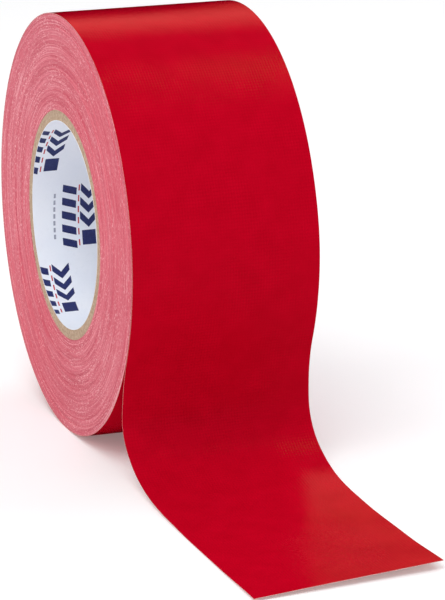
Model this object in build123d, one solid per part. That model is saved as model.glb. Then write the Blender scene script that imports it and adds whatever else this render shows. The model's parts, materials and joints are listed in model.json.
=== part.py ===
from build123d import *
import math
import os

# A roll of cloth-backed tape standing on its rim, with a length of tape pulled
# off the front and lying on the surface that the roll stands on.
# +Y runs along the roll's axis, +Z is up, and the origin is the centre of the bore.

# Roll and core, in millimetres.
TAPE_WIDTH = 70.0
BORE_RADIUS = 38.5
CORE_RADIUS = 42.5
ROLL_RADIUS = 78.0
LINER_THICKNESS = 0.22
PLY_COUNT = 7

# The tape is a laminate: glossy backing film, woven cloth and adhesive.
FILM_THICKNESS = 0.080
CLOTH_THICKNESS = 0.075
ADHESIVE_THICKNESS = 0.090
TAPE_THICKNESS = FILM_THICKNESS + CLOTH_THICKNESS + ADHESIVE_THICKNESS

# Where the loose tail leaves the roll, measured from +X about the roll's axis.
PEEL_ANGLE = -24.0
PEEL_CLEARANCE = 0.3

# The tail's folds: distance along X, and height of the tape's middle above the surface
# that the roll stands on. Folds beyond the last height lie flat on that surface.
FOLD_X = [67.1, 67.0, 75.4, 88.1, 107.9, 135.8, 165.8]
FOLD_HEIGHT = [30.7, 17.8, 9.4, 3.9, 0.9]
TAIL_END_X = 194.5
FOLD_GAP = 0.3

# The free end was cut by hand, so its two corners are not level.
CUT_SKEW = 7.0


def polar(radius, degrees):
    """Point in the XZ plane at this radius and angle from +X towards +Z."""
    angle = math.radians(degrees)
    return radius * math.cos(angle), radius * math.sin(angle)


def tube(inner_radius, outer_radius):
    """Tube on the roll's axis, as wide as the tape."""
    ring = Circle(outer_radius) - Circle(inner_radius)
    solid = extrude(ring, amount=TAPE_WIDTH / 2, both=True)
    return solid.rotate(Axis.X, 90)


def fold_points():
    """Middle of the tape at the peel line, at each fold and at the free end."""
    lying_height = TAPE_THICKNESS / 2
    points = [polar(ROLL_RADIUS + PEEL_CLEARANCE + lying_height, PEEL_ANGLE)]
    for index, x in enumerate(FOLD_X):
        height = FOLD_HEIGHT[index] if index < len(FOLD_HEIGHT) else lying_height
        points.append((x, height - ROLL_RADIUS))
    points.append((TAIL_END_X, lying_height - ROLL_RADIUS))
    return points


def tail_layer(start, end, low, high, skew):
    """One layer of one stretch of the tail, from offset low to high across the tape.

    Positive offsets are on the backing side. A skew lengthens the -Y edge and
    shortens the +Y edge by half its amount.
    """
    run_x = end[0] - start[0]
    run_z = end[1] - start[1]
    length = math.hypot(run_x, run_z)
    first = FOLD_GAP / 2
    last = length - (0.0 if skew else FOLD_GAP / 2)
    half = TAPE_WIDTH / 2
    corners = [
        (first, -half),
        (last + skew / 2, -half),
        (last - skew / 2, half),
        (first, half),
    ]
    plane = Plane(
        origin=(start[0], 0, start[1]),
        x_dir=(run_x, 0, run_z),
        z_dir=(-run_z, 0, run_x),
    )
    outline = make_face(Polyline(*corners, close=True))
    slab = extrude(outline.moved(Location((0, 0, low))), amount=high - low)
    return plane.location * slab


parts = {}

# Core: a printed paper liner inside, then the paperboard plies.
parts["core_liner"] = tube(BORE_RADIUS, BORE_RADIUS + LINER_THICKNESS)
ply_thickness = (CORE_RADIUS - BORE_RADIUS - LINER_THICKNESS) / PLY_COUNT
for number in range(PLY_COUNT):
    inside = BORE_RADIUS + LINER_THICKNESS + ply_thickness * number
    parts[f"core_ply_{number + 1}"] = tube(inside, inside + ply_thickness)

# The tape's layers, as offsets from its middle, positive on the backing side.
half_tape = TAPE_THICKNESS / 2
layers = {
    "adhesive": (-half_tape, ADHESIVE_THICKNESS - half_tape),
    "cloth": (ADHESIVE_THICKNESS - half_tape, half_tape - FILM_THICKNESS),
    "film": (half_tape - FILM_THICKNESS, half_tape),
}

# The wound turns as one pack, then the outermost turn in its three layers.
parts["wound_tape"] = tube(CORE_RADIUS, ROLL_RADIUS - TAPE_THICKNESS)
turn_middle = ROLL_RADIUS - half_tape
for layer, (low, high) in layers.items():
    parts[f"outer_turn_{layer}"] = tube(turn_middle + low, turn_middle + high)

# The loose tail, in flat stretches from fold to fold, each in its three layers.
points = fold_points()
for number in range(1, len(points)):
    skew = CUT_SKEW if number == len(points) - 1 else 0.0
    for layer, (low, high) in layers.items():
        name = f"tail_{number}_{layer}"
        parts[name] = tail_layer(points[number - 1], points[number], low, high, skew)

os.makedirs("parts", exist_ok=True)
for name, solid in parts.items():
    export_step(solid, f"parts/{name}.step")
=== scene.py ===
import bpy
import json
import math
import numpy as np
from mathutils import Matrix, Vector


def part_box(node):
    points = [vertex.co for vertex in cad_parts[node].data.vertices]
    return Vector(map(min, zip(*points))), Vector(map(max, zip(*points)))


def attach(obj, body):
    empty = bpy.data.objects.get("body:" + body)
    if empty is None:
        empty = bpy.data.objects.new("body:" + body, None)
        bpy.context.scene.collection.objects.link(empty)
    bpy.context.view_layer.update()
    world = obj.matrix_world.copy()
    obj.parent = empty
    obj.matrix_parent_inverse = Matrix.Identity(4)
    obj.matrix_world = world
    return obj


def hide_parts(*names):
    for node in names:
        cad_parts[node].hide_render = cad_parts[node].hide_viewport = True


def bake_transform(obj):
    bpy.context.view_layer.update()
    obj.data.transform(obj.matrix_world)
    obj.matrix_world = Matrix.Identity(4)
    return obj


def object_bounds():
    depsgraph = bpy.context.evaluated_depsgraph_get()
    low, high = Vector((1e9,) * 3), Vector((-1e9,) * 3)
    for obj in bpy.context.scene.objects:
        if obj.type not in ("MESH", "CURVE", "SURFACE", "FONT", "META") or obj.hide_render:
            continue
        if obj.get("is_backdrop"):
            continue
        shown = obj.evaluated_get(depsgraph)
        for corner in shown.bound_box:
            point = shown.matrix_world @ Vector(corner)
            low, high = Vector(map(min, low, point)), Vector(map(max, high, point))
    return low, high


# A roll of red cloth-backed tape standing on its rim, with a tail of tape pulled off
# the front. The CAD frame is in metres; shapes here are worked out in millimetres.

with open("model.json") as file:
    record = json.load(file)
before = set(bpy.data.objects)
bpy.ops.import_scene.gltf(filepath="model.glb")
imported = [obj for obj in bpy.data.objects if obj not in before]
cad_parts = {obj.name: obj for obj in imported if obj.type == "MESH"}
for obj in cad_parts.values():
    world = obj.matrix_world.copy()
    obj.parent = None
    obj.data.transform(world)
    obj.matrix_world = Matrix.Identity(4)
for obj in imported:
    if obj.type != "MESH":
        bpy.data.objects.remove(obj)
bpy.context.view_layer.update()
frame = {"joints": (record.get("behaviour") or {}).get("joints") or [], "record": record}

MM = 0.001

# Sizes from the CAD model, in millimetres.
record = frame["record"]
bore_mount = next(m for m in record["mounts"] if m["name"] == "core_bore")
BORE_R = bore_mount["dims"]["r_mm"]
LINER_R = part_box("core_liner")[1].z / MM
CORE_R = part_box("core_ply_7")[1].z / MM
ROLL_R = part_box("outer_turn_film")[1].z / MM
FLOOR_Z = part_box("outer_turn_film")[0].z / MM
HALF_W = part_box("wound_tape")[1].y / MM
HINGES = [(j["pos_m"][0] / MM, j["pos_m"][2] / MM) for j in frame["joints"]]

# The tape's three layers, as offsets from its middle; positive is the glossy side.
FILM_T = 0.080
CLOTH_T = 0.075
ADHESIVE_T = 0.090
TAPE_T = FILM_T + CLOTH_T + ADHESIVE_T
LAYERS = {
    "adhesive": (-TAPE_T / 2, ADHESIVE_T - TAPE_T / 2),
    "cloth": (ADHESIVE_T - TAPE_T / 2, TAPE_T / 2 - FILM_T),
    "film": (TAPE_T / 2 - FILM_T, TAPE_T / 2),
}
# The cut is out of square: its near corner reaches this much further out than its middle.
CUT_SKEW = 3.5
# Distances between yarns in millimetres, along the tape and across it.
YARN_PITCH = (1.25, 1.05)
# Millimetres of tape to one unit of its UVs.
UV_MM = 100.0


# ---------------------------------------------------------------- small helpers

def smooth(t):
    """Smooth step of t between 0 and 1."""
    t = np.clip(t, 0.0, 1.0)
    return t * t * (3 - 2 * t)


def link(name, data):
    """New object in the scene for this mesh, light or camera."""
    obj = bpy.data.objects.new(name, data)
    bpy.context.scene.collection.objects.link(obj)
    return obj


def make_object(name, verts, faces, uvs, material, sharp_angle=40.0):
    """Smooth mesh object from points in millimetres, faces and one UV pair for each point."""
    mesh = bpy.data.meshes.new(name)
    points = np.asarray(verts, float) * MM
    mesh.from_pydata(points.tolist(), [], [list(face) for face in faces])
    mesh.update()
    if uvs is not None:
        layer = mesh.uv_layers.new(name="tape")
        index = np.empty(len(mesh.loops), np.int32)
        mesh.loops.foreach_get("vertex_index", index)
        layer.data.foreach_set("uv", np.asarray(uvs, np.float32)[index].ravel())
    mesh.polygons.foreach_set("use_smooth", np.ones(len(mesh.polygons), bool))
    mesh.set_sharp_from_angle(angle=math.radians(sharp_angle))
    mesh.materials.append(material)
    return link(name, mesh)


def grid_faces(rows, columns, start=0, flip=False):
    """Quads of a grid of points stored row by row, the first of them numbered start."""
    r, c = np.meshgrid(np.arange(rows - 1), np.arange(columns - 1), indexing="ij")
    a = (start + r * columns + c).ravel()
    quads = np.stack([a, a + 1, a + columns + 1, a + columns], axis=1)
    return quads[:, ::-1] if flip else quads


def slab(name, top, bottom, uv, material):
    """Closed thin sheet between two grids of points of the same shape (rows, columns, 3)."""
    rows, columns, _ = top.shape
    verts = np.concatenate([top.reshape(-1, 3), bottom.reshape(-1, 3)])
    uvs = np.concatenate([uv.reshape(-1, 2)] * 2)
    below = rows * columns
    index = np.arange(rows * columns).reshape(rows, columns)
    faces = [grid_faces(rows, columns), grid_faces(rows, columns, below, flip=True)]
    rims = [index[0, :], index[:, -1], index[-1, ::-1], index[::-1, 0]]
    for rim in rims:
        a, b = rim[:-1], rim[1:]
        faces.append(np.stack([b, a, a + below, b + below], axis=1))
    return make_object(name, verts, np.concatenate(faces), uvs, material)


# ---------------------------------------------------------------- material helpers

class Nodes:
    """A material's node tree, built by short calls."""

    def __init__(self, name):
        self.material = bpy.data.materials.new(name)
        self.material.use_nodes = True
        self.tree = self.material.node_tree
        self.shader = self.tree.nodes["Principled BSDF"]

    def add(self, kind, inputs=(), **settings):
        """New node; inputs maps a socket's name or index to a value or another socket."""
        node = self.tree.nodes.new(kind)
        for key, value in settings.items():
            setattr(node, key, value)
        for key, value in dict(inputs).items():
            self.put(node.inputs[key], value)
        return node

    def put(self, socket, value):
        """Link the socket to another socket, or set its value."""
        if isinstance(value, bpy.types.NodeSocket):
            self.tree.links.new(value, socket)
        else:
            socket.default_value = value

    def math(self, operation, a, b=0.0):
        """Result of one math operation."""
        return self.add("ShaderNodeMath", {0: a, 1: b}, operation=operation).outputs[0]

    def ramp(self, value, low, high, to_low=0.0, to_high=1.0):
        """Value carried from the first range to the second, and kept within it."""
        node = self.add("ShaderNodeMapRange", {
            "Value": value, "From Min": low, "From Max": high,
            "To Min": to_low, "To Max": to_high})
        return node.outputs[0]

    def mix(self, factor, a, b):
        """Colour between a and b."""
        node = self.add("ShaderNodeMix", data_type="RGBA")
        self.put(node.inputs["Factor"], factor)
        self.put(node.inputs["A"], a)
        self.put(node.inputs["B"], b)
        return node.outputs["Result"]

    def noise(self, vector, scale, detail=2.0, roughness=0.5):
        """Smooth noise at this place."""
        node = self.add("ShaderNodeTexNoise", {
            "Vector": vector, "Scale": scale, "Detail": detail, "Roughness": roughness})
        return node.outputs["Fac"]

    def bump(self, height, distance, strength=1.0, normal=None):
        """Normal of a relief of this height, laid over another normal if there is one."""
        node = self.add("ShaderNodeBump", {
            "Height": height, "Distance": distance, "Strength": strength})
        if normal is not None:
            self.put(node.inputs["Normal"], normal)
        return node.outputs["Normal"]

    def finish(self, **sockets):
        """The material, with these inputs of its shader set; underscores stand for spaces."""
        for key, value in sockets.items():
            self.put(self.shader.inputs[key.replace("_", " ")], value)
        return self.material


def tape_uv(n):
    """Place on the tape in millimetres: as a vector, its first part and its second part."""
    uv = n.add("ShaderNodeUVMap", uv_map="tape").outputs[0]
    scaled = n.add("ShaderNodeVectorMath", {0: uv, 1: (UV_MM,) * 3}, operation="MULTIPLY")
    parts = n.add("ShaderNodeSeparateXYZ", {0: scaled.outputs[0]})
    return scaled.outputs[0], parts.outputs["X"], parts.outputs["Y"]


def threads(n, along, across):
    """Waves from -1 to 1 of the yarns that lie across the tape, and of those along it."""
    waves = []
    for value, pitch in zip((along, across), YARN_PITCH):
        turn = n.math("MULTIPLY", value, 2 * math.pi / pitch)
        waves.append(n.math("SINE", turn))
    return waves


def plateau(n, value, begin, full_from, full_to, end):
    """Share that rises from begin to full_from and falls from full_to to end."""
    return n.math("MULTIPLY", n.ramp(value, begin, full_from), n.ramp(value, end, full_to))


def linear(r, g, b):
    """Linear colour of an sRGB one given from 0 to 255."""
    out = []
    for c in (r, g, b):
        c = c / 255
        out.append(c / 12.92 if c <= 0.04045 else ((c + 0.055) / 1.055) ** 2.4)
    return (*out, 1.0)


# ---------------------------------------------------------------- materials

# A dull patch near the cut, where the free end has been handled: where it begins, is full
# from and to, and ends, in millimetres along the tail and across it.
DULL_ALONG = (106.0, 128.0, 148.0, 164.0)
DULL_ACROSS = (-16.0, 0.0, 12.0, 30.0)


def film_material():
    """Glossy red polyethylene with the cloth under it showing through faintly."""
    n = Nodes("red_film")
    uv, along, across = tape_uv(n)
    warp, weft = threads(n, along, across)
    patch = n.noise(uv, 0.045, 2.0)
    showing = n.ramp(patch, 0.40, 0.62, 0.35, 1.0)
    weave = n.math("ADD", n.math("MULTIPLY", warp, 0.5), n.math("MULTIPLY", weft, 0.5))
    weave = n.math("MULTIPLY", weave, showing)
    fine = n.noise(uv, 3.2, 3.0, 0.6)
    cloud = n.noise(uv, 0.11, 3.0)
    base = n.mix(n.ramp(cloud, 0.3, 0.7), linear(190, 3, 31), linear(200, 4, 35))
    base = n.mix(n.ramp(weave, -0.9, 0.9, 0.0, 0.26), base, linear(150, 0, 20))
    handled = n.math("MULTIPLY", plateau(n, along, *DULL_ALONG), plateau(n, across, *DULL_ACROSS))
    streaks = n.ramp(n.noise(uv, 0.7, 2.0, 0.6), 0.38, 0.58)
    dull = n.math("MULTIPLY", handled, streaks)
    rough = n.ramp(fine, 0.3, 0.7, 0.07, 0.13)
    rough = n.math("ADD", rough, n.math("MULTIPLY", dull, 0.34))
    normal = n.bump(n.math("ADD", weave, fine), 0.00003, 0.8)
    normal = n.bump(n.noise(uv, 0.16, 2.0), 0.00012, 0.5, normal)
    return n.finish(Base_Color=base, Roughness=rough, IOR=1.5, Specular_IOR_Level=0.36,
                    Specular_Tint=(1.0, 0.12, 0.1, 1.0), Normal=normal)


def cloth_material():
    """Woven scrim, mostly hidden between film and adhesive."""
    n = Nodes("scrim_cloth")
    uv, along, across = tape_uv(n)
    warp, weft = threads(n, along, across)
    weave = n.math("ADD", warp, weft)
    fuzz = n.noise(uv, 6.0, 3.0)
    base = n.mix(n.ramp(weave, -2.0, 2.0), linear(214, 160, 158), linear(238, 214, 208))
    base = n.mix(n.ramp(fuzz, 0.3, 0.7, 0.0, 0.4), base, linear(202, 120, 126))
    normal = n.bump(n.math("ADD", weave, fuzz), 0.00004, 0.8)
    return n.finish(Base_Color=base, Roughness=0.85, Normal=normal)


def adhesive_material():
    """Pale tacky rubber with the scrim's grid and the film's red showing through."""
    n = Nodes("adhesive")
    uv, along, across = tape_uv(n)
    warp, weft = threads(n, along, across)
    ridge_a = n.math("POWER", n.ramp(warp, -1.0, 1.0), 3.0)
    ridge_b = n.math("POWER", n.ramp(weft, -1.0, 1.0), 3.0)
    grid = n.math("MAXIMUM", ridge_a, ridge_b)
    blotch = n.noise(uv, 0.5, 4.0, 0.6)
    base = n.mix(n.ramp(blotch, 0.3, 0.7), linear(214, 142, 140), linear(226, 166, 160))
    base = n.mix(n.math("MULTIPLY", grid, 0.55), base, linear(240, 212, 204))
    rough = n.ramp(blotch, 0.3, 0.7, 0.3, 0.55)
    normal = n.bump(n.math("ADD", grid, n.math("MULTIPLY", blotch, 0.6)), 0.00005, 0.9)
    return n.finish(Base_Color=base, Roughness=rough, Normal=normal)


def edge_material():
    """The cut edges of the wound turns: pink, with pale yarn ends in every turn and pale rings of
    painted highlight.
    """
    n = Nodes("wound_edges")
    # This piece's UVs hold the radius in millimetres and the number of the turn.
    _, radius, turn = tape_uv(n)
    place = n.add("ShaderNodeTexCoord").outputs["Object"]
    parts = n.add("ShaderNodeSeparateXYZ", {0: place})
    x, z = (n.math("MULTIPLY", parts.outputs[axis], 1 / MM) for axis in ("X", "Z"))
    # Bands one to three millimetres wide, the same all the way round.
    band = n.add("ShaderNodeCombineXYZ", {
        0: n.math("DIVIDE", x, radius), 1: n.math("DIVIDE", z, radius), 2: radius})
    bands = n.noise(band.outputs[0], 1.25, 3.0, 0.7)
    # Pale rings at some radii: painted highlights where the turns' stepped edges would catch the
    # light.
    painted_highlight_rings = n.ramp(n.noise(band.outputs[0], 2.3, 1.0), 0.60, 0.70)
    soft = n.noise(band.outputs[0], 0.23, 2.0)
    # One value for each turn.
    number = n.math("FLOOR", turn)
    single = n.add("ShaderNodeTexWhiteNoise", {"W": number}, noise_dimensions="1D").outputs[0]
    # Yarn ends: dots about a millimetre apart along a turn, and one turn high.
    dots_at = n.add("ShaderNodeCombineXYZ", {
        0: x, 1: z, 2: n.math("MULTIPLY", radius, 3.3)})
    dots = n.noise(dots_at.outputs[0], 0.85, 2.0, 0.6)
    patches = n.noise(dots_at.outputs[0], 0.06, 2.0)
    base = n.mix(n.ramp(bands, 0.36, 0.66), linear(198, 88, 104), linear(238, 150, 160))
    base = n.mix(n.ramp(soft, 0.35, 0.65, 0.0, 0.35), base, linear(212, 110, 126))
    base = n.mix(n.math("MULTIPLY", single, 0.42), base, linear(190, 78, 95))
    # Painted highlight: the pale rings laid over the bands.
    base = n.mix(n.math("MULTIPLY", painted_highlight_rings, 0.55), base, linear(250, 186, 192))
    fleck = n.ramp(dots, 0.55, 0.69)
    fleck = n.math("MULTIPLY", fleck, n.ramp(patches, 0.35, 0.62, 0.25, 0.9))
    base = n.mix(fleck, base, linear(254, 214, 214))
    gap = n.ramp(dots, 0.32, 0.43, 0.5, 0.0)
    base = n.mix(gap, base, linear(172, 58, 78))
    # The film of each turn is the last part of its thickness.
    part = n.math("SUBTRACT", turn, number)
    film = n.ramp(part, 0.62, 0.72, 0.0, 0.55)
    base = n.mix(film, base, linear(212, 78, 96))
    height = n.math("ADD", dots, n.math("MULTIPLY", bands, 0.6))
    normal = n.bump(height, 0.00012, 0.8)
    return n.finish(Base_Color=base, Roughness=0.72, Specular_IOR_Level=0.25, Normal=normal)


def board_material():
    """Recycled kraft paperboard, cut across its plies."""
    n = Nodes("kraft_board")
    place = n.add("ShaderNodeTexCoord").outputs["Object"]
    fibres = n.noise(place, 900.0, 5.0, 0.7)
    specks = n.noise(place, 2600.0, 2.0, 0.6)
    cloud = n.noise(place, 90.0, 2.0)
    base = n.mix(n.ramp(fibres, 0.32, 0.68), linear(158, 132, 110), linear(206, 184, 160))
    base = n.mix(n.ramp(cloud, 0.3, 0.7, 0.0, 0.35), base, linear(190, 164, 138))
    base = n.mix(n.ramp(specks, 0.62, 0.74, 0.0, 0.5), base, linear(122, 96, 76))
    normal = n.bump(n.math("ADD", fibres, n.math("MULTIPLY", specks, 0.5)), 0.00012, 0.9)
    return n.finish(Base_Color=base, Roughness=0.92, Specular_IOR_Level=0.2, Normal=normal)


def paper_material():
    """Coated white liner paper with a faint fibre grain."""
    n = Nodes("liner_paper")
    place = n.add("ShaderNodeTexCoord").outputs["Object"]
    grain = n.noise(place, 700.0, 4.0, 0.6)
    cloud = n.noise(place, 60.0, 3.0)
    base = n.mix(n.ramp(cloud, 0.3, 0.7), linear(236, 241, 251), linear(243, 246, 252))
    base = n.mix(n.ramp(grain, 0.55, 0.75, 0.0, 0.12), base, linear(206, 210, 222))
    rough = n.ramp(grain, 0.3, 0.7, 0.42, 0.6)
    normal = n.bump(n.math("ADD", grain, n.math("MULTIPLY", cloud, 0.8)), 0.00008, 0.5)
    return n.finish(Base_Color=base, Roughness=rough, Specular_IOR_Level=0.35, Normal=normal)


def ink_material(name, dark, light):
    """Printing ink, a little uneven where the paper's grain shows through."""
    n = Nodes(name)
    place = n.add("ShaderNodeTexCoord").outputs["Object"]
    grain = n.noise(place, 1500.0, 3.0, 0.6)
    base = n.mix(n.ramp(grain, 0.45, 0.75), dark, light)
    rough = n.ramp(grain, 0.3, 0.7, 0.4, 0.6)
    return n.finish(Base_Color=base, Roughness=rough, Normal=n.bump(grain, 0.00003, 0.4))


FILM = film_material()
CLOTH = cloth_material()
ADHESIVE = adhesive_material()
EDGES = edge_material()
BOARD = board_material()
PAPER = paper_material()
NAVY = ink_material("navy_ink", linear(26, 36, 96), linear(44, 54, 116))
RED = ink_material("red_ink", linear(196, 46, 52), linear(214, 92, 92))
GREY = ink_material("grey_ink", linear(150, 154, 172), linear(184, 188, 200))
FINISH = {"film": FILM, "cloth": CLOTH, "adhesive": ADHESIVE}
SLOT = {"film": "backing_film", "cloth": "cloth", "adhesive": "adhesive"}


# ---------------------------------------------------------------- the tape's path

# Angles in degrees: where the tail's first stretch takes over from the roll, how much of
# the outermost strip is modelled as a sheet, and how far back along it, from LIFT_OFF, the
# strip has the CAD roll's own radius.
LIFT_OFF = -20.0
ROLL_OVERLAP = 400.0
TRUE_RADIUS_AT = 290.0

# The outer turn's slack where it peels: its height in millimetres, the angle at which it has
# died out, the place and width of a bulge in it, how much more the far edge has of it, and
# the height of a faint ripple.
SLACK = 0.42
SLACK_END = 50.0
BULGE_AT = 24.0
BULGE_WIDTH = 13.0
SLACK_TILT = 0.28
RIPPLE = 0.012


def middle_radius(alpha):
    """Radius of the tape's middle, alpha degrees back along the strip from LIFT_OFF."""
    return ROLL_R - TAPE_T / 2 + TAPE_T * (TRUE_RADIUS_AT - alpha) / 360.0


def slack(alpha, y):
    """How far the outer turn stands off the roll near the place where it peels."""
    rise = 1 - smooth(alpha / SLACK_END) + np.exp(-((alpha - BULGE_AT) / BULGE_WIDTH) ** 2)
    return SLACK * rise * (1.0 + SLACK_TILT * y / HALF_W)


def roll_point(alpha, y, offset):
    """Point on the outermost strip, offset along its outward normal."""
    angle = np.radians(LIFT_OFF + alpha)
    ripple = RIPPLE * np.sin(angle * 3.0 + y / 17.0) * smooth(alpha / 20)
    # Past a full turn the strip lies under its own first part, close to the roll.
    on_top = alpha < 360
    r = middle_radius(alpha) + offset + (slack(alpha, y) + ripple) * on_top
    return np.stack([r * np.cos(angle), y + 0 * r, r * np.sin(angle)], axis=-1)


def cubic(t, a, b, slope_a, slope_b):
    """Curve from a to b as t goes from 0 to 1, with these slopes at its ends."""
    return ((2 * t**3 - 3 * t**2 + 1) * a + (t**3 - 2 * t**2 + t) * slope_a
            + (-2 * t**3 + 3 * t**2) * b + (t**3 - t**2) * slope_b)


def smooth_path(points, headings, per_piece):
    """Smooth curve through points in the XZ plane with the given headings in degrees."""
    out = []
    for i in range(len(points) - 1):
        a, b = np.array(points[i]), np.array(points[i + 1])
        length = np.linalg.norm(b - a)
        ways = [length * np.array([math.cos(h), math.sin(h)]) for h in np.radians(headings[i:i + 2])]
        t = np.linspace(0, 1, per_piece + 1)[:-1, None]
        out.append(cubic(t, a, b, *ways))
    out.append(np.array(points[-1])[None])
    return np.concatenate(out)


# The path of the tape's middle: from the roll, over each hinge, to the middle of the cut,
# with its headings at these points. The cut's near corner is the CAD's furthest point.
PATH_STEPS = 400
LYING_Z = FLOOR_Z + TAPE_T / 2
START_R = float(middle_radius(0.0) + slack(np.float64(0.0), 0.0))
START = (START_R * math.cos(math.radians(LIFT_OFF)), START_R * math.sin(math.radians(LIFT_OFF)))
TAIL_END = (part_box("tail_8_film")[1].x / MM - CUT_SKEW, LYING_Z)
HEADINGS = [LIFT_OFF - 90, -112, -98, -67, -34, -16, -4, 0, 0, 0]
curve = smooth_path([START, *HINGES, TAIL_END], HEADINGS, PATH_STEPS)
curve[:, 1] = np.maximum(curve[:, 1], LYING_Z)
steps = np.linalg.norm(np.diff(curve, axis=0), axis=1)
curve_s = np.concatenate([[0.0], np.cumsum(steps)])
HINGE_S = [curve_s[PATH_STEPS * (i + 1)] for i in range(len(HINGES))]
END_S = curve_s[-1]


def path_at(s):
    """Point, and unit normal on the glossy side, at distances s along the tail."""
    x, z = np.interp(s, curve_s, curve[:, 0]), np.interp(s, curve_s, curve[:, 1])
    step = 0.05
    low, high = np.maximum(s - step, 0), np.minimum(s + step, END_S)
    dx = np.interp(high, curve_s, curve[:, 0]) - np.interp(low, curve_s, curve[:, 0])
    dz = np.interp(high, curve_s, curve[:, 1]) - np.interp(low, curve_s, curve[:, 1])
    size = np.hypot(dx, dz)
    return x, z, -dz / size, dx / size


def glide(at, values):
    """Smooth curve through values at these distances along the tail."""
    at, values = np.array(at), np.array(values)
    slopes = np.gradient(values, at)

    def curve_value(s):
        i = np.clip(np.searchsorted(at, s) - 1, 0, len(at) - 2)
        span = at[i + 1] - at[i]
        t = np.clip((s - at[i]) / span, 0, 1)
        return cubic(t, values[i], values[i + 1], span * slopes[i], span * slopes[i + 1])

    return curve_value


# How far the tail's two edges stand off its middle line, in millimetres: where the tail
# leaves the roll, at each hinge and at the cut.
LIFT_AT = [0.0] + HINGE_S + [END_S]
far_lift = glide(LIFT_AT, [0.12, 0.25, 1.9, 3.8, 2.4, 1.6, 1.35, 1.15, 1.75, 3.0])
near_lift = glide(LIFT_AT, [-0.12, -0.12, -0.1, -0.12, -0.3, -0.1, 0.1, 0.15, 0.15, 0.75])
# Faint waves, in millimetres: height, and distance along and across the tape for a radian.
WAVES = ((0.10, 9.0, 21.0), (0.07, 5.3, -12.0))
WAVES_BEGIN = 14.0
WAVES_GROW = 12.0
LYING_FROM = HINGE_S[5]
LYING_LIFT = 0.1
LYING_WAVES = 0.6


def tail_lift(s, y):
    """Twist and faint waves of the tail, along its normal."""
    share = (1 + y / HALF_W) / 2
    lift = far_lift(s) * share + near_lift(s) * (1 - share)
    lying = smooth((s - LYING_FROM) / WAVES_GROW)
    hanging = smooth((s - WAVES_BEGIN) / WAVES_GROW) * (1 - lying) * share
    wave = sum(height * np.sin(s / along + y / across) for height, along, across in WAVES)
    return lift + wave * hanging + lying * (LYING_LIFT + LYING_WAVES * wave)


def tail_grid(s_values, y_values, low, high, cut=False):
    """Top and bottom grids and UVs of one layer; the cut skews its stations towards the end."""
    s, y = np.meshgrid(s_values, y_values, indexing="ij")
    if cut:
        share = (s - s_values[0]) / (s_values[-1] - s_values[0])
        s = s - CUT_SKEW * y / HALF_W * share ** 2
    x, z, nx, nz = path_at(np.minimum(s, END_S))
    x = x + np.maximum(s - END_S, 0)
    lift = tail_lift(s, y)
    surfaces = []
    for offset in (high, low):
        d = lift + offset
        surfaces.append(np.stack([x + nx * d, y, z + nz * d], axis=-1))
    uv = np.stack([s, y], axis=-1) / UV_MM
    return surfaces[0], surfaces[1], uv


# ---------------------------------------------------------------- tape on the roll

def ride_roll(obj, slot_name, *nodes):
    """Put a piece on the roll's body, in place of these nodes; slot_name is not used."""
    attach(obj, "roll")
    if nodes:
        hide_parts(*nodes)
    return obj


Y_ACROSS = np.linspace(-HALF_W, HALF_W, 43)
# Closer together over the first 60 degrees, where the turn stands off the roll.
ALPHAS = np.concatenate([np.linspace(0, 60, 121), np.linspace(60.8, ROLL_OVERLAP, 420)])
for layer, (low, high) in LAYERS.items():
    a, y = np.meshgrid(ALPHAS, Y_ACROSS, indexing="ij")
    uv = np.stack([-np.radians(a) * ROLL_R, y], axis=-1) / UV_MM
    top, bottom = roll_point(a, y, high), roll_point(a, y, low)
    obj = slab(f"outer_turn_sheet_{layer}", top[::-1], bottom[::-1], uv[::-1], FINISH[layer])
    ride_roll(obj, SLOT[layer], f"outer_turn_{layer}")


# ---------------------------------------------------------------- the wound turns

TURNS = 144
RIDGE_POINTS = 2
ANGLES = 168
# The pack's outside is a spiral too: it steps in where the sheet above it ends.
STEP_AT = ROLL_OVERLAP - 360.0
PACK_GAP = 0.02

# Unevenness of the turns' edges: heights in millimetres of groups of six turns, on the near
# side and the far side, of single turns, and of the ridge and the valley that each turn has.
GROUP_HEIGHT = {-1: 0.07, 1: -0.056}
SINGLE_HEIGHT = 0.035
RIDGE_HEIGHT = 0.035
# Heights are drawn for a few more turns than there are.
EDGE_COUNT = TURNS + 8
# How far the turns' edges lie within the CAD's side face, and how far in and out they may go.
SIDE_RECESS = 0.12
SIDE_IN = -0.22
SIDE_OUT = 0.12

turn_rng = np.random.default_rng(21)
group = np.repeat(turn_rng.normal(0, 1, 30), 6)[:EDGE_COUNT]
walk = np.convolve(group, np.ones(3) / 3, mode="same")
single = turn_rng.normal(0, 1, EDGE_COUNT)


def turn_height(turn, side):
    """How far a turn's edge stands out of the roll's flat side."""
    at = np.clip(turn, 0, EDGE_COUNT - 2)
    i = at.astype(int)
    # A turn keeps its height and goes over to the next one's in its last quarter.
    f = smooth((at - i) * 4 - 3)
    rough_walk = walk[i] * (1 - f) + walk[i + 1] * f
    rough_single = single[i] * (1 - f) + single[i + 1] * f
    return GROUP_HEIGHT[side] * rough_walk + SINGLE_HEIGHT * rough_single


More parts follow.
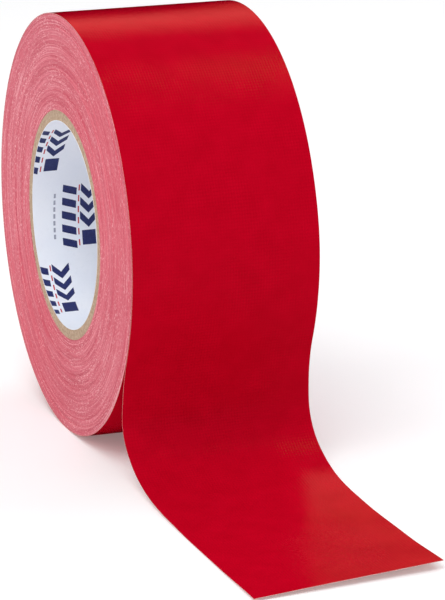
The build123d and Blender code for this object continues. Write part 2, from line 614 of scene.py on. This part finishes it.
def side_grid(side):
    """Points and UVs of one flat side, with every turn's edge as a ridge of its own."""
    u = np.arange(TURNS * RIDGE_POINTS + 1) / RIDGE_POINTS
    alpha, uu = np.meshgrid(np.linspace(STEP_AT, STEP_AT + 360.0, ANGLES + 1), u, indexing="ij")
    outer = middle_radius(alpha) - TAPE_T / 2 - PACK_GAP
    r = outer - uu * (outer - CORE_R) / TURNS
    angle = np.radians(LIFT_OFF + alpha)
    turn = uu + (alpha - STEP_AT) / 360.0
    on_ridge = (uu * RIDGE_POINTS).astype(int) % RIDGE_POINTS == 0
    ridge = np.where(on_ridge, RIDGE_HEIGHT, -RIDGE_HEIGHT)
    # Each edge also wavers a little along its turn.
    flutter = 0.03 * np.sin(angle * 5 + turn * 0.7) + 0.02 * np.sin(angle * 11 - turn * 1.3)
    height = np.clip(turn_height(turn, side) + ridge + flutter, SIDE_IN, SIDE_OUT)
    # The first and the last two turns lie flatter.
    inner_turns = smooth(uu / 2) * smooth((TURNS - uu) / 2)
    y = side * (HALF_W - SIDE_RECESS + height * (0.3 + 0.7 * inner_turns))
    points = np.stack([r * np.cos(angle), y, r * np.sin(angle)], axis=-1)
    return points, np.stack([r, turn + 2], axis=-1) / UV_MM


def wound_pack():
    """The wound turns as one closed body: two flat sides joined by its outside and its inside."""
    near, near_uv = side_grid(-1)
    far, far_uv = side_grid(1)
    verts = np.concatenate([near, far[:, ::-1]], axis=1)
    uvs = np.concatenate([near_uv, far_uv[:, ::-1]], axis=1)
    count = verts.shape[1]
    step, k = np.meshgrid(np.arange(ANGLES), np.arange(count), indexing="ij")
    a, b = step * count + k, step * count + (k + 1) % count
    faces = np.stack([a, b, b + count, a + count], axis=-1).reshape(-1, 4)
    ends = [list(range(count))[::-1], list(range(ANGLES * count, (ANGLES + 1) * count))]
    obj = make_object("wound_tape_pack", verts.reshape(-1, 3), faces.tolist() + ends,
                      uvs.reshape(-1, 2), EDGES, 70.0)
    ride_roll(obj, "wound_tape", "wound_tape")


wound_pack()


# ---------------------------------------------------------------- the core

PLIES = 7
# A seam goes this many radians round the core for each millimetre along it.
SEAM_SLOPE = 0.011
RING_STEPS = 180
RUN_POINTS = 29


def ring(name, inner, outer, half, seam, gap, bevel, material, slot_name, node):
    """Spiral-wound strip of the core: a tube left open along a thin slanting seam."""
    run = np.linspace(-half + bevel, half - bevel, RUN_POINTS)
    radii = np.concatenate([[inner] * RUN_POINTS, [inner + bevel, outer - bevel],
                            [outer] * RUN_POINTS, [outer - bevel, inner + bevel]])
    across = np.concatenate([run, [half, half], run[::-1], [-half, -half]])
    count = len(radii)
    share = np.linspace(0, 1, RING_STEPS + 1)[:, None]
    open_angle = gap / radii
    angle = seam + SEAM_SLOPE * across + open_angle / 2 + share * (2 * math.pi - open_angle)
    verts = np.stack([radii * np.cos(angle), across + 0 * angle, radii * np.sin(angle)], axis=-1)
    faces = []
    for k in range(count):
        a = np.arange(RING_STEPS) * count + k
        b = np.arange(RING_STEPS) * count + (k + 1) % count
        faces.append(np.stack([a, b, b + count, a + count], axis=1))
    ends = [list(range(count))[::-1], list(range(RING_STEPS * count, (RING_STEPS + 1) * count))]
    faces = np.concatenate(faces).tolist() + ends
    obj = make_object(name, verts.reshape(-1, 3), faces, None, material, 35.0)
    ride_roll(obj, slot_name, node)


# Gaps in millimetres: between one ply and the next, and from the CAD's side faces.
PLY_GAP = 0.012
PLY_RECESS = 0.18
ply_t = (CORE_R - LINER_R) / PLIES
ply_rng = np.random.default_rng(5)
for number in range(PLIES):
    inner = LINER_R + ply_t * number
    half = HALF_W - PLY_RECESS - float(ply_rng.uniform(0.0, 0.16))
    seam = float(ply_rng.uniform(0, 2 * math.pi))
    seam_gap = float(ply_rng.uniform(0.15, 0.5))
    ring(f"paper_ply_{number + 1}", inner + PLY_GAP, inner + ply_t - PLY_GAP, half, seam,
         seam_gap, 0.05, BOARD, "kraft_board", f"core_ply_{number + 1}")
ring("liner_strip", BORE_R, LINER_R - 0.01, HALF_W - 0.25, math.radians(70),
     0.12, 0.03, PAPER, "liner_paper", "core_liner")


# ---------------------------------------------------------------- the liner's print

# The print lies a little inside the liner, stops short of its ends, and is cut into strips
# of this width to follow it.
PRINT_R = BORE_R - 0.02
PRINT_EDGE = HALF_W - 0.32
PRINT_STEP = 0.6
# Slope of the printed rows, which follow the strip as it winds round the bore.
TILT = math.tan(math.radians(3.4))
TOUCH = 1e-9


class Print:
    """Flat shapes drawn in millimetres (along the bore's circumference, along its axis)."""

    def __init__(self):
        self.verts, self.faces = [], []

    def polygon(self, x, y, outline):
        """Convex outline placed at x, y, cut into strips so that it follows the bore."""
        corners = [(x + across, y + up) for across, up in outline]
        left, right = min(c[0] for c in corners), max(c[0] for c in corners)
        cuts = np.linspace(left, right, int((right - left) / PRINT_STEP) + 2)
        last = None
        for cut in cuts:
            hits = []
            for (x0, y0), (x1, y1) in zip(corners, corners[1:] + corners[:1]):
                if x0 == x1:
                    if abs(cut - x0) < TOUCH:
                        hits += [y0, y1]
                elif min(x0, x1) - TOUCH <= cut <= max(x0, x1) + TOUCH:
                    hits.append(y0 + (y1 - y0) * (cut - x0) / (x1 - x0))
            pair = (cut, min(hits), max(hits))
            if last is not None:
                self.strip(last, pair)
            last = pair

    def strip(self, left, right):
        """Quad between two cuts, each given as its place, its lower end and its upper end."""
        start = len(self.verts)
        self.verts += [(left[0], left[1]), (right[0], right[1]),
                       (right[0], right[2]), (left[0], left[2])]
        self.faces.append((start, start + 1, start + 2, start + 3))

    def build(self, name, material):
        """The shapes as one mesh, wound round the bore."""
        flat = np.array(self.verts)
        flat[:, 1] = np.clip(flat[:, 1] - TILT * flat[:, 0], -PRINT_EDGE, PRINT_EDGE)
        angle = flat[:, 0] / PRINT_R
        verts = np.stack([PRINT_R * np.cos(angle), flat[:, 1], PRINT_R * np.sin(angle)], axis=-1)
        mesh = bpy.data.meshes.new(name)
        mesh.from_pydata((verts * MM).tolist(), [], self.faces)
        mesh.materials.append(material)
        ride_roll(link(name, mesh), "liner_paper")


def rectangle(width, height):
    """Outline with its lower left corner at the origin."""
    return [(0, 0), (width, 0), (width, height), (0, height)]


navy, red, grey = Print(), Print(), Print()
ARROW_PITCH = 5.4
ARROW_ARM = 3.4
BAR_PITCH = 5.1
DASH_PITCH = 4.2
DOT_PITCH = 2.6


def mark(x, y):
    """Generic mark: arrowheads and a square over slanted bars, with dashes and dots."""
    for k in range(3):
        for arm in (-ARROW_ARM, ARROW_ARM):
            navy.polygon(x - 12.0 + k * ARROW_PITCH, y + 4.4,
                         [(0, arm), (3.0, arm), (6.4, 0), (3.4, 0)])
    navy.polygon(x + 6.2, y + 1.6, rectangle(5.6, 5.4))
    for k in range(5):
        navy.polygon(x - 12.0 + k * BAR_PITCH, y - 6.2, [(0, 0), (2.9, 0), (4.5, 5.6), (1.6, 5.6)])
    for k in range(6):
        red.polygon(x - 11.5 + k * DASH_PITCH, y + 0.1, rectangle(2.4, 0.52))
    for k in range(7):
        grey.polygon(x - 8.6 + k * DOT_PITCH, y - 9.6, rectangle(1.7, 0.8))


# Marks in rows, four round the bore, every other row half a mark further on. The first mark
# of row 0 is at START_X round the bore and START_Y along it.
MARKS_ROUND = 4
MARK_PITCH = 2 * math.pi * BORE_R / MARKS_ROUND
ROW_PITCH = 14.6
START_X = math.radians(189.5) * BORE_R
START_Y = -17.2
for row in range(-1, 4):
    for column in range(MARKS_ROUND):
        x = START_X + (column + 0.5 * (row % 2)) * MARK_PITCH
        mark(x, START_Y + row * ROW_PITCH + TILT * x)
navy.build("liner_print_navy", NAVY)
red.build("liner_print_red", RED)
grey.build("liner_print_grey", GREY)


# ---------------------------------------------------------------- the tail

MIDDLES = [(a + b) / 2 for a, b in zip(HINGE_S, HINGE_S[1:] + [END_S])]
STRETCHES = len(HINGES)


def stations(start, end):
    """Distances along a stretch: close together at its ends, about half a millimetre between."""
    fine = np.array([0, 0.04, 0.12, 0.28])
    inner = np.linspace(start + 0.6, end - 0.6, max(4, int((end - start) / 0.55)))
    return np.concatenate([start + fine, inner, (end - fine)[::-1]])


def tail_stretch(number):
    """One stretch's three layers, from the middle of the stretch before it to the middle of its own.
    """
    last = number == STRETCHES
    start = MIDDLES[number - 2] if number > 1 else 0.0
    middle = MIDDLES[number - 1]
    s_values = stations(start, middle)
    if last:
        s_values = np.concatenate([s_values[:-1], np.linspace(middle, END_S, 30)])
    made = {}
    for layer, (low, high) in LAYERS.items():
        top, bottom, uv = tail_grid(s_values, Y_ACROSS, low, high, cut=last)
        obj = slab(f"tail_stretch_{number}_{layer}", top, bottom, uv, FINISH[layer])
        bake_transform(obj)
        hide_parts(f"tail_{number}_{layer}")
        made[layer] = obj
    return made, (END_S if last else middle) - start


tail_stretches = [tail_stretch(number) for number in range(1, STRETCHES + 1)]


# ---------------------------------------------------------------- floor, light and camera

FLOOR_REACH = 8.0
# The floor lies this much below the roll, in metres, so that the two don't flicker.
FLOOR_DROP = 0.00003


def floor_material():
    """Pale matt floor that glows faintly, for the photo's white background."""
    n = Nodes("pale_floor")
    place = n.add("ShaderNodeTexCoord").outputs["Object"]
    cloud = n.noise(place, 3.0, 3.0)
    base = n.mix(cloud, linear(246, 246, 247), linear(250, 250, 250))
    return n.finish(Base_Color=base, Roughness=0.9, Specular_IOR_Level=0.1,
                    Emission_Color=(1.0, 1.0, 1.0, 1.0), Emission_Strength=0.16)


floor_mesh = bpy.data.meshes.new("floor")
floor_corners = [(-FLOOR_REACH, -FLOOR_REACH), (FLOOR_REACH, -FLOOR_REACH),
                 (FLOOR_REACH, FLOOR_REACH), (-FLOOR_REACH, FLOOR_REACH)]
floor_mesh.from_pydata([(x, y, FLOOR_Z * MM - FLOOR_DROP) for x, y in floor_corners], [],
                       [(0, 1, 2, 3)])
floor_mesh.materials.append(floor_material())
floor = link("floor", floor_mesh)
floor.visible_glossy = False
floor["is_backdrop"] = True


def direction(azimuth, elevation):
    """Unit vector from the object towards this azimuth and elevation, in degrees."""
    a, e = math.radians(azimuth), math.radians(elevation)
    return Vector((math.sin(a) * math.cos(e), -math.cos(a) * math.cos(e), math.sin(e)))


def fade_edges(light, sideways, rising, falling):
    """Fade a softbox out over these shares of its width, its lower edge and its upper edge."""
    light.use_nodes = True
    nodes, links = light.node_tree.nodes, light.node_tree.links
    place = nodes.new("ShaderNodeNewGeometry").outputs["Parametric"]
    split = nodes.new("ShaderNodeSeparateXYZ")
    links.new(place, split.inputs[0])
    shares = []
    for output, width, far_end in (("X", sideways, 0.0), ("X", sideways, 1.0),
                                   ("Y", rising, 0.0), ("Y", falling, 1.0)):
        fade = nodes.new("ShaderNodeMapRange")
        fade.interpolation_type = "SMOOTHSTEP"
        links.new(split.outputs[output], fade.inputs["Value"])
        fade.inputs["From Min"].default_value = far_end
        fade.inputs["From Max"].default_value = abs(far_end - width)
        shares.append(fade.outputs[0])
    strength = shares[0]
    for share in shares[1:]:
        product = nodes.new("ShaderNodeMath")
        product.operation = "MULTIPLY"
        links.new(strength, product.inputs[0])
        links.new(share, product.inputs[1])
        strength = product.outputs[0]
    links.new(strength, nodes["Emission"].inputs["Strength"])


LIGHT_TARGET = Vector((0.04, 0.0, -0.02))


def softbox(name, azimuth, elevation, distance, width, height, power, mirrored=None,
            fades=()):
    """Area light; one with a mirrored colour is only seen as a reflection."""
    light = bpy.data.lights.new(name, "AREA")
    light.shape = "RECTANGLE"
    light.size, light.size_y = width, height
    light.energy = power
    obj = link(name, light)
    way = direction(azimuth, elevation)
    obj.location = LIGHT_TARGET + way * distance
    obj.rotation_mode = "QUATERNION"
    obj.rotation_quaternion = (-way).to_track_quat("-Z", "Y")
    obj.visible_glossy = bool(mirrored)
    obj.visible_diffuse = not mirrored
    if mirrored:
        light.color = mirrored
        fade_edges(light, *fades)


# Each softbox: azimuth and elevation in degrees, distance, width and height in metres, watts.
softbox("key", 45, 60, 1.6, 1.0, 1.0, 11.9)
softbox("front_fill", 80, 8, 1.8, 1.2, 0.6, 2.3)
softbox("side_fill", -12, 20, 1.8, 1.0, 1.0, 8.3)
softbox("back_fill", 212, 52, 1.8, 1.3, 1.1, 9.5)

# Reflections that the photo shows on the film, each with its colour and its faded edges.
softbox("strip_behind", -113, 34.2, 1.39, 0.72, 0.60, 1.6, (1.0, 0.27, 0.2), (0.1, 0.22, 0.18))
softbox("low_strip_behind", -117.2, 17.5, 1.3, 0.34, 0.24, 0.25, (1.0, 0.2, 0.1), (0.3, 0.2, 0.4))
softbox("strip_above", 180, 67.6, 1.3, 0.7, 0.2, 0.34, (1.0, 0.95, 0.5), (0.2, 0.4, 0.4))
softbox("corner_above", -167, 64.2, 1.39, 0.5, 0.15, 0.62, (0.25, 1.0, 0.15), (0.25, 0.2, 0.7))

# Reflections for the other sides of the roll, which the photo's camera doesn't see.
CARD_COLOUR = (1.0, 0.27, 0.2)
CARD_FADES = (0.2, 0.3, 0.3)
softbox("left_card", -152, 43, 1.4, 0.6, 0.5, 1.1, CARD_COLOUR, CARD_FADES)
softbox("front_card", 34, 36, 1.4, 0.6, 0.5, 1.1, CARD_COLOUR, CARD_FADES)
softbox("overhead_card", -90, 63, 1.4, 0.36, 0.4, 0.6, CARD_COLOUR, CARD_FADES)

world = bpy.data.worlds.new("studio")
world.use_nodes = True
background = world.node_tree.nodes["Background"]
background.inputs["Color"].default_value = (0.98, 0.985, 1.0, 1)
background.inputs["Strength"].default_value = 0.44
bpy.context.scene.world = world
world.cycles_visibility.glossy = False

# The camera was fitted to the photo's outlines of the roll and its tail.
CAMERA_AT = (1.225202, -0.426034, 0.331396)
CAMERA_AZIMUTH = 69.69
CAMERA_ELEVATION = 15.65
camera_data = bpy.data.cameras.new("camera")
camera_data.sensor_width = 36.0
camera_data.lens = 216.5
camera_data.clip_start, camera_data.clip_end = 0.05, 50.0
camera = link("camera", camera_data)
camera.location = CAMERA_AT
camera.rotation_mode = "QUATERNION"
toward_camera = direction(CAMERA_AZIMUTH, CAMERA_ELEVATION)
camera.rotation_quaternion = (-toward_camera).to_track_quat("-Z", "Y")
bpy.context.scene.camera = camera
bpy.context.scene.view_settings.view_transform = "Standard"


# ---------------------------------------------------------------- bounds of the shown objects

low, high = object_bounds()
